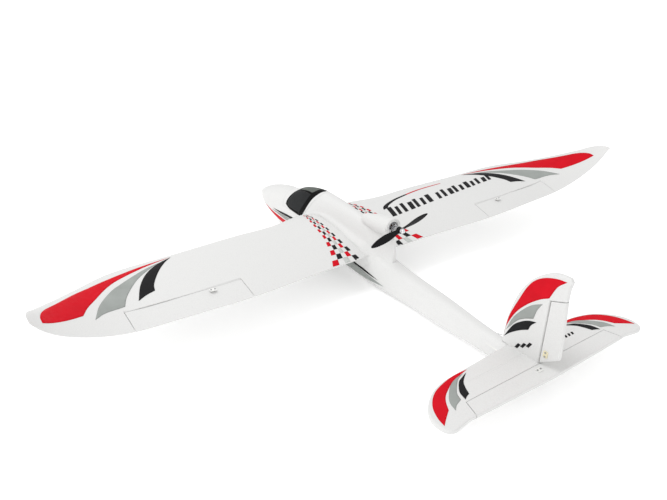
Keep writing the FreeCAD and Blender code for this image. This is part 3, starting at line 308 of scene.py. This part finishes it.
NODE_PAINT = {
    "foam": "_half canopy_hatch wing_panel aileron stabiliser elevator rudder fin spar_strip",
    "white_nylon": "_servo_arm _horn _horn_backplate",
    "ivory": "rudder_horn rudder_horn_backplate",
    "screw": "_screws",
    "case": "_servo",
    "steel": "_pushrod _magnets",
    "tube": "wing_joiner_tube",
    "sleeve": "wing_joiner_sleeve guide_tube",
    "battery": "battery_pack",
    "strap": "battery_strap",
    "controller": "speed_controller",
    "receiver": "receiver",
    "wood": "servo_tray",
    "mount": "motor_mount motor_base",
    "stator": "motor_stator",
    "can": "motor_bell",
    "bright": "propeller_adapter propeller_nut",
    "propeller": "propeller",
}


def paint_nodes():
    """Gives every node the material of the longest word that ends its name."""
    for name, obj in nodes.items():
        best = max(
            (len(word), key)
            for key, words in NODE_PAINT.items()
            for word in words.split()
            if name.endswith(word)
        )[1]
        obj.data.materials.clear()
        obj.data.materials.append(paint[best])
        for face in obj.data.polygons:
            face.use_smooth = True


# ---------------------------------------------------------------- films laid on the surfaces

# all in millimetres: a film's thickness, its usual height over the surface, the spacing of its
# inner points and the step along its edge
FILM_THICKNESS = 0.08
FILM_LIFT = 0.25
FILM_GRID = 3.5
FILM_EDGE = 1.2

# how far away the rays start that find the surface under a film
RAYS_ABOVE, RAYS_BESIDE, RAYS_AROUND = 400, 200, 300
CANOPY_AXIS_Z = 60
CANOPY_RADIUS = 35


def surface_of(*names):
    """One search tree over the rest shapes of some nodes."""
    points, faces = [], []
    for name in names:
        mesh = nodes[name].data
        start = len(points)
        points += [v.co.copy() for v in mesh.vertices]
        faces += [[start + i for i in p.vertices] for p in mesh.polygons]
    return BVHTree.FromPolygons(points, faces)


def smooth_run(points, step):
    """Points along a smooth curve through the given ones."""
    points = [Vector(p) for p in points]
    if len(points) == 2:
        count = max(1, int((points[1] - points[0]).length / step))
        return [points[0].lerp(points[1], i / count) for i in range(count)]
    padded = [2 * points[0] - points[1], *points, 2 * points[-1] - points[-2]]
    made = []
    for a, b, c, d in zip(padded, padded[1:], padded[2:], padded[3:]):
        count = max(2, int((c - b).length / step))
        for i in range(count):
            t = i / count
            made.append(0.5 * (2 * b + (c - a) * t + (2 * a - 5 * b + 4 * c - d) * t * t
                               + (3 * b - a - 3 * c + d) * t ** 3))
    return made


def outline(runs, step=FILM_EDGE):
    """A closed outline from runs of points, with a corner wherever two runs meet."""
    made = []
    for run, following in zip(runs, runs[1:] + runs[:1]):
        made += smooth_run([*run, following[0]], step)
    return made


def inside(point, ring):
    hit = False
    for a, b in zip(ring, ring[1:] + ring[:1]):
        if (a.y > point.y) != (b.y > point.y):
            if point.x < (b.x - a.x) * (point.y - a.y) / (b.y - a.y) + a.x:
                hit = not hit
    return hit


def filled(ring, step):
    """Triangles that fill an outline, with inner points on a grid."""
    edge = list(ring)
    xs, ys = [p.x for p in ring], [p.y for p in ring]
    grid = []
    x = min(xs) + step / 2
    while x < max(xs):
        y = min(ys) + step / 2
        while y < max(ys):
            spot = Vector((x, y))
            near = min((spot - p).length_squared for p in edge)
            if near > (0.4 * step) ** 2 and inside(spot, edge):
                grid.append(spot)
            y += step
        x += step
    points, _, faces, *_ = delaunay_2d_cdt(edge + grid, [], [list(range(len(edge)))], 1, 1e-4)
    return points, faces


def from_above(u, v):
    return Vector((u, v, RAYS_ABOVE)), Vector((0, 0, -1))


def from_left(u, v):
    return Vector((RAYS_BESIDE, u, v)), Vector((-1, 0, 0))


def from_right(u, v):
    return Vector((-RAYS_BESIDE, u, v)), Vector((1, 0, 0))


def around_canopy(u, v):
    """Wrapped about a level line inside the canopy: u is the arc from the top, v the place along it."""
    out = Vector((math.sin(u / CANOPY_RADIUS), 0, math.cos(u / CANOPY_RADIUS)))
    return Vector((0, v, CANOPY_AXIS_Z)) + RAYS_AROUND * out, -out


def flipped(ring):
    """The same outline on the other side."""
    return [Vector((-p.x, p.y)) for p in reversed(ring)]


def lay(name, rings, color, body, surface, ray=from_above, lift=FILM_LIFT, grid=FILM_GRID):
    """A thin film, cut to one or more outlines, laid on a surface along the rays."""
    made, kept = [], []
    for ring in rings:
        flat, faces = filled(ring, grid)
        index = {}
        for i, p in enumerate(flat):
            start, way = ray(p.x, p.y)
            spot, normal, _, _ = surface.ray_cast(start * MM, way)
            if spot is None:
                continue
            if normal.dot(way) > 0:
                normal = -normal
            index[i] = len(made)
            made.append(spot + normal * lift * MM)
        kept += [[index[i] for i in face] for face in faces if all(i in index for i in face)]
    mesh = bpy.data.meshes.new(name)
    mesh.from_pydata(made, [], kept)
    obj = bpy.data.objects.new(name, mesh)
    scene.collection.objects.link(obj)
    _, way = ray(rings[0][0].x, rings[0][0].y)
    mesh.update()
    facing = sum(face.normal.dot(way) * face.area for face in mesh.polygons)
    if facing > 0:
        mesh.flip_normals()
    for face in mesh.polygons:
        face.use_smooth = True
    film = obj.modifiers.new("film", "SOLIDIFY")
    film.thickness = FILM_THICKNESS * MM
    film.offset = -1
    obj.data.materials.append(paint[color])
    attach(obj, body)


def sticker(name, runs, color, body, surface, ray=from_above, lift=FILM_LIFT, mirror=False, grid=FILM_GRID):
    """One film from runs of points."""
    ring = outline(runs)
    lay(name, [flipped(ring) if mirror else ring], color, body, surface, ray, lift, grid)


# The swooshes, as runs of points with corners between them. Wing and tailplane give (x, y) on
# the left side, and fin and fuselage give (y, z).
WING_SWOOSH = {
    "red": [
        [(395, -167), (468, -155), (532, -136), (575, -114), (608, -91), (653, -46), (669, -24),
         (677, -3)],
        [(678, 12)],
        [(608, -27), (593, -50), (572, -74), (545, -103), (517, -124), (468, -145), (430, -157)],
    ],
    "grey": [
        [(426, -152), (457, -141), (488, -125), (516, -109), (540, -92), (571, -57)],
        [(593, -17), (569, -34)],
        [(533, -45), (518, -72), (487, -108), (457, -132)],
    ],
    "black": [
        [(395, -165), (429, -149), (460, -125), (486, -92)],
        [(506, -52), (487, -62)],
        [(469, -68), (462, -87), (439, -120), (415, -147)],
    ],
}
STAB_SWOOSH = {
    "red": [
        [(115, 363), (138, 362), (161, 364.5), (188, 371.5), (204, 379), (218, 390), (230, 405),
         (238, 424)],
        [(241, 441), (228, 431)],
        [(211, 419), (202, 404), (191, 392), (175, 382), (154, 372)],
    ],
    "grey": [
        [(128, 367), (148, 370), (164, 376), (179, 387), (193, 401), (199, 411)],
        [(203, 426), (193, 418)],
        [(178, 412), (173, 399), (161, 386), (146, 374)],
    ],
    "black": [
        [(122, 368), (136, 373), (148, 378), (160, 389), (168, 400)],
        [(172, 416), (165, 412)],
        [(157, 409), (151, 395), (142, 382)],
    ],
}
FIN_SWOOSH = {
    "red": [
        [(341.5, 74), (345.5, 111), (360.5, 154), (372, 182), (384.5, 200), (402, 213),
         (424, 221.5)],
        [(442, 224), (427, 208)],
        [(416, 182), (398, 170), (376, 149), (357, 123), (344, 92)],
    ],
    "grey": [
        [(344, 82), (354, 112), (371, 137), (387, 154)],
        [(406, 166), (398, 149)],
        [(394, 131), (377, 122), (362, 109)],
    ],
    "black": [
        [(341.5, 67), (356, 97), (371, 113), (386, 123)],
        [(401, 128), (392, 117)],
        [(388, 106), (372, 96), (354, 81)],
    ],
}
# overlapping films stand at different heights, so that none flickers through another
LIFTS = {"red": 0.2, "grey": 0.3, "black": 0.4}


def lay_swooshes():
    for side, mirror in (("left", False), ("right", True)):
        panel = surface_of(side + "_wing_panel")
        for color, runs in WING_SWOOSH.items():
            sticker("%s_wing_film_%s" % (side, color), runs, color, "airframe", panel,
                    lift=LIFTS[color], mirror=mirror)
    stab = surface_of("horizontal_stabiliser")
    for side, mirror in (("left", False), ("right", True)):
        for color, runs in STAB_SWOOSH.items():
            sticker("%s_stabiliser_film_%s" % (side, color), runs, color, "airframe", stab,
                    lift=LIFTS[color], mirror=mirror)
    fin = surface_of("fin")
    for side, ray in (("left", from_left), ("right", from_right)):
        for color, runs in FIN_SWOOSH.items():
            sticker("%s_fin_film_%s" % (side, color), runs, color, "airframe", fin, ray, LIFTS[color])


# the checkered fan: chordwise place, then its outer and inner edge there
FAN = [
    (-203, 62, 53.6), (-160, 72.8, 53.5), (-128, 79, 54.5),
    (-93, 84.5, 56), (-41, 101.5, 55.7), (-3, 123, 52),
]
# the edges of its columns as shares of its width, from the outer edge
FAN_COLUMNS = (0, 0.235, 0.45, 0.64, 0.822, 1)
FAN_COLORS = ("red", "black", "light_grey", "red", "black")
FAN_ROWS = 17
FAN_BACK = -5.5
FAN_FIRST_ROW = 14.6
FAN_ROW_RATIO = 0.97


def fan_point(column, y):
    """Where a column's edge crosses a chordwise place."""
    for low, high in zip(FAN, FAN[1:]):
        if y <= high[0]:
            break
    share = (y - low[0]) / (high[0] - low[0])
    outer, inner = (low[i] + (high[i] - low[i]) * share for i in (1, 2))
    return Vector((outer + (inner - outer) * FAN_COLUMNS[column], y))


def lay_checkers():
    """A checkered fan on each wing root: five columns, with rows that shorten forward."""
    rings = {color: [] for color in FAN_COLORS}
    back = FAN_BACK
    for row in range(FAN_ROWS):
        front = back - FAN_FIRST_ROW * FAN_ROW_RATIO ** row
        for column, color in enumerate(FAN_COLORS):
            if (row + column) % 2 == 0:
                corners = [fan_point(column, back), fan_point(column, front),
                           fan_point(column + 1, front), fan_point(column + 1, back)]
                rings[color].append(outline([[c] for c in corners], 2.5))
        back = front
    for side in ("left", "right"):
        panel = surface_of(side + "_wing_panel")
        for color, made in rings.items():
            turned = made if side == "left" else [flipped(ring) for ring in made]
            lay("%s_wing_checker_%s" % (side, color), turned, color, "airframe", panel)


# The canopy's printed glazing, as (u, v) of around_canopy: the left half of the surround's edge in
# three runs from rear to front, one side pane, and the top pane. The other side mirrors it.
SURROUND_REAR = [(6.7, -213.1), (13, -223.4), (22.2, -233.3), (35.7, -243.5)]
SURROUND_LOW = [(44.9, -248.4), (44.6, -275), (43.6, -302.5)]
SURROUND_FRONT = [(38.7, -318.6), (30.2, -318.4), (20.8, -313.8), (11.5, -304.6), (5.1, -291)]
SIDE_PANE = [
    [(9.3, -234.5), (19, -243.5), (31, -254)],
    [(38.6, -258.5), (39.3, -280), (38.6, -304)],
    [(34.5, -312.5), (27.5, -312.5), (18.5, -306.5), (10.2, -297)],
    [(8.6, -288), (8.2, -266), (8.8, -246)],
]
TOP_PANE = [
    [(6.9, -286), (6.6, -264), (6.9, -244.7), (7.3, -235.5)],
    [(5.4, -229.5), (1.6, -224.2), (0, -223.4), (-1.6, -224.2)],
    [(-5.4, -229.5), (-7.3, -235.5), (-6.9, -244.7), (-6.6, -264)],
    [(-6.9, -286), (-3, -282.5), (0, -281.5), (3, -282.5)],
]
SURROUND_LIFT, PANE_LIFT = 0.3, 0.45
CANOPY_GRID = 1.8


def lay_canopy():
    """Glazing: a black surround on the hatch, dark side panes a little lighter than it, and a paler top pane;
    the panes' extra lightness is a painted reflection of the bright light above.
    """
    hatch = surface_of("canopy_hatch")

    def other(points):
        return [(-u, v) for u, v in reversed(points)]

    surround = [
        [(0, -205), *SURROUND_REAR],
        SURROUND_LOW,
        [*SURROUND_FRONT, (0, -285), *other(SURROUND_FRONT)[:-1]],
        [other(SURROUND_FRONT)[-1], *other(SURROUND_LOW)[:-1]],
        [other(SURROUND_LOW)[-1], *other(SURROUND_REAR)],
    ]
    sticker("canopy_surround", surround, "canopy", "hatch", hatch, around_canopy, SURROUND_LIFT,
            grid=CANOPY_GRID)
    for side, mirror in (("left", False), ("right", True)):
        sticker("canopy_pane_" + side, SIDE_PANE, "pane", "hatch", hatch, around_canopy, PANE_LIFT,
                mirror, CANOPY_GRID)
    # the top pane is painted paler, as a painted reflection of the light above
    sticker("canopy_pane_top_painted_reflection", TOP_PANE, "top_pane_painted_reflection", "hatch", hatch, around_canopy, PANE_LIFT,
            grid=CANOPY_GRID)


SIDE_FILMS = {
    "grey": [
        [(-384, 39.5), (-340, 43), (-300, 46), (-250, 48.5), (-180, 49.5), (-110, 44), (-50, 37),
         (0, 30)],
        [(43, 24.5), (20, 20.8), (-18, 16.6), (-60, 14.8), (-105, 13.5), (-150, 15), (-230, 24),
         (-300, 33), (-333, 35)],
    ],
    "black": [
        [(-376, 44.8), (-340, 49), (-300, 53.5), (-250, 57), (-180, 58), (-110, 53), (-50, 44),
         (-10, 38.5)],
        [(26, 32), (-10, 33.5), (-50, 38), (-110, 46.5), (-180, 51.5), (-250, 50.5), (-300, 47.5), (-340, 44.3)],
    ],
    "red": [
        [(-422, 42), (-396, 36.5), (-371, 33), (-345, 31.5), (-300, 29)],
        [(-230, 24)],
        [(-230, 14), (-300, 13), (-345, 16), (-371, 20)],
    ],
}


def lay_fuselage_films():
    for side, ray in (("left", from_left), ("right", from_right)):
        half = surface_of("fuselage_%s_half" % side)
        for color, runs in SIDE_FILMS.items():
            sticker("%s_side_film_%s" % (side, color), runs, color, "airframe", half, ray, LIFTS[color])


def slanted_bar(corner, width, slant, height, step=3):
    """A bar whose low edge starts at a corner and whose high edge is shifted along."""
    x, y = corner
    corners = ((x, y), (x + width, y), (x + width + slant, y + height), (x + slant, y + height))
    return outline([[Vector(c)] for c in corners], step)


def lay_tail_bars():
    """Three plain slanted bars on each side of the fin and on the tailplane."""
    fin = surface_of("fin")
    rings = [slanted_bar((367 + 11 * i, 59 + 7 * i), width=6, slant=6, height=11) for i in range(3)]
    for side, ray in (("left", from_left), ("right", from_right)):
        lay(side + "_fin_bars", rings, "black", "airframe", fin, ray)
    rings = [slanted_bar((-97 - 9 * i, 398), width=-5, slant=-4, height=-9) for i in range(3)]
    lay("right_stabiliser_bars", rings, "black", "airframe", surface_of("horizontal_stabiliser"))


WING_BARS = 17
WING_BARS_START = 106
WING_BAR_SPACING = 19.2
WING_BARS_BREAK, WING_BREAK_WIDTH = 7, 12
WING_BAR_REAR, WING_BAR_FRONT = -90, -126
WING_BAR_DRIFT = 0.7
WING_BAR_SHORTER = 5
WING_BAR_SLANT = 9
WING_BAR_NARROW, WING_BAR_WIDE = 9.5, 13


def lay_wing_graphic():
    """A plain row of slanted bars, with one break, and a pinstripe on the right wing."""
    panel = surface_of("right_wing_panel")
    bars = []
    for i in range(WING_BARS):
        x = WING_BARS_START + WING_BAR_SPACING * i + (WING_BREAK_WIDTH if i >= WING_BARS_BREAK else 0)
        rear = WING_BAR_REAR - WING_BAR_DRIFT * i
        front = WING_BAR_FRONT + (WING_BAR_SHORTER if i % 2 else 0)
        width = WING_BAR_NARROW if i % 3 else WING_BAR_WIDE
        far = -x - WING_BAR_SLANT
        corners = [(-x, rear), (far, front), (far - width, front), (-x - width, rear)]
        bars.append(outline([[Vector(c)] for c in corners], 3))
    lay("right_wing_bars", bars, "black", "airframe", panel)
    stripe = [
        [(-105, -122), (-112, -133), (-130, -143), (-162, -152.5)],
        [(-200, -157)],
        [(-200, -152.5), (-162, -146), (-132, -135), (-119, -126)],
    ]
    sticker("right_wing_stripe_black", stripe, "black", "airframe", panel)
    stripe = [
        [(-200, -157), (-246, -160), (-309, -156)],
        [(-309, -153.8), (-246, -156)],
        [(-200, -152.5)],
    ]
    sticker("right_wing_stripe_red", stripe, "red", "airframe", panel)


# ---------------------------------------------------------------- foam left uncut along the hinges

# control surface, and how far its web reaches below and above the joint's axis
HINGE_WEBS = (
    ("left_aileron", -0.25, 0.6),
    ("right_aileron", -0.25, 0.6),
    ("elevator", -0.25, 0.25),
    ("rudder", -3.1, 3.1),
)
# the web runs from just behind the axis to just inside the fixed side of the gap
WEB_BACK, WEB_FRONT = -0.02, 1.25
# the part of a control surface this close to the axis gives the web's length
WEB_NEAR = 3


def make_hinge_webs():
    """The thin strip of foam that each control surface bends on, along its joint axis."""
    joints = {joint["name"]: joint for joint in frame["joints"]}
    for name, low, high in HINGE_WEBS:
        joint = joints[name + "_hinge"]
        along, start = Vector(joint["axis"]), Vector(joint["pos_m"])
        forward = Vector((0, -1, 0))
        forward = (forward - forward.dot(along) * along).normalized()
        across = along.cross(forward)
        reaches = []
        for vertex in nodes[name].data.vertices:
            out = vertex.co - start
            if (out - out.dot(along) * along).length < WEB_NEAR * MM:
                reaches.append(out.dot(along))
        section = ((WEB_BACK, high), (WEB_FRONT, high), (WEB_FRONT, low), (WEB_BACK, low))
        points = [
            start + along * reach + (forward * ahead + across * up) * MM
            for reach in (min(reaches), max(reaches))
            for ahead, up in section
        ]
        faces = [(0, 1, 2, 3), (7, 6, 5, 4)]
        faces += [(i, i + 4, (i + 1) % 4 + 4, (i + 1) % 4) for i in range(4)]
        mesh = bpy.data.meshes.new(name + "_hinge_web")
        mesh.from_pydata(points, [], faces)
        web = bpy.data.objects.new(name + "_hinge_web", mesh)
        scene.collection.objects.link(web)
        web.data.materials.append(paint["foam"])
        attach(web, "airframe")


# ---------------------------------------------------------------- the scene

make_camera()
make_studio()
paint_nodes()
make_hinge_webs()
lay_swooshes()
lay_checkers()
lay_canopy()
lay_fuselage_films()
lay_tail_bars()
lay_wing_graphic()
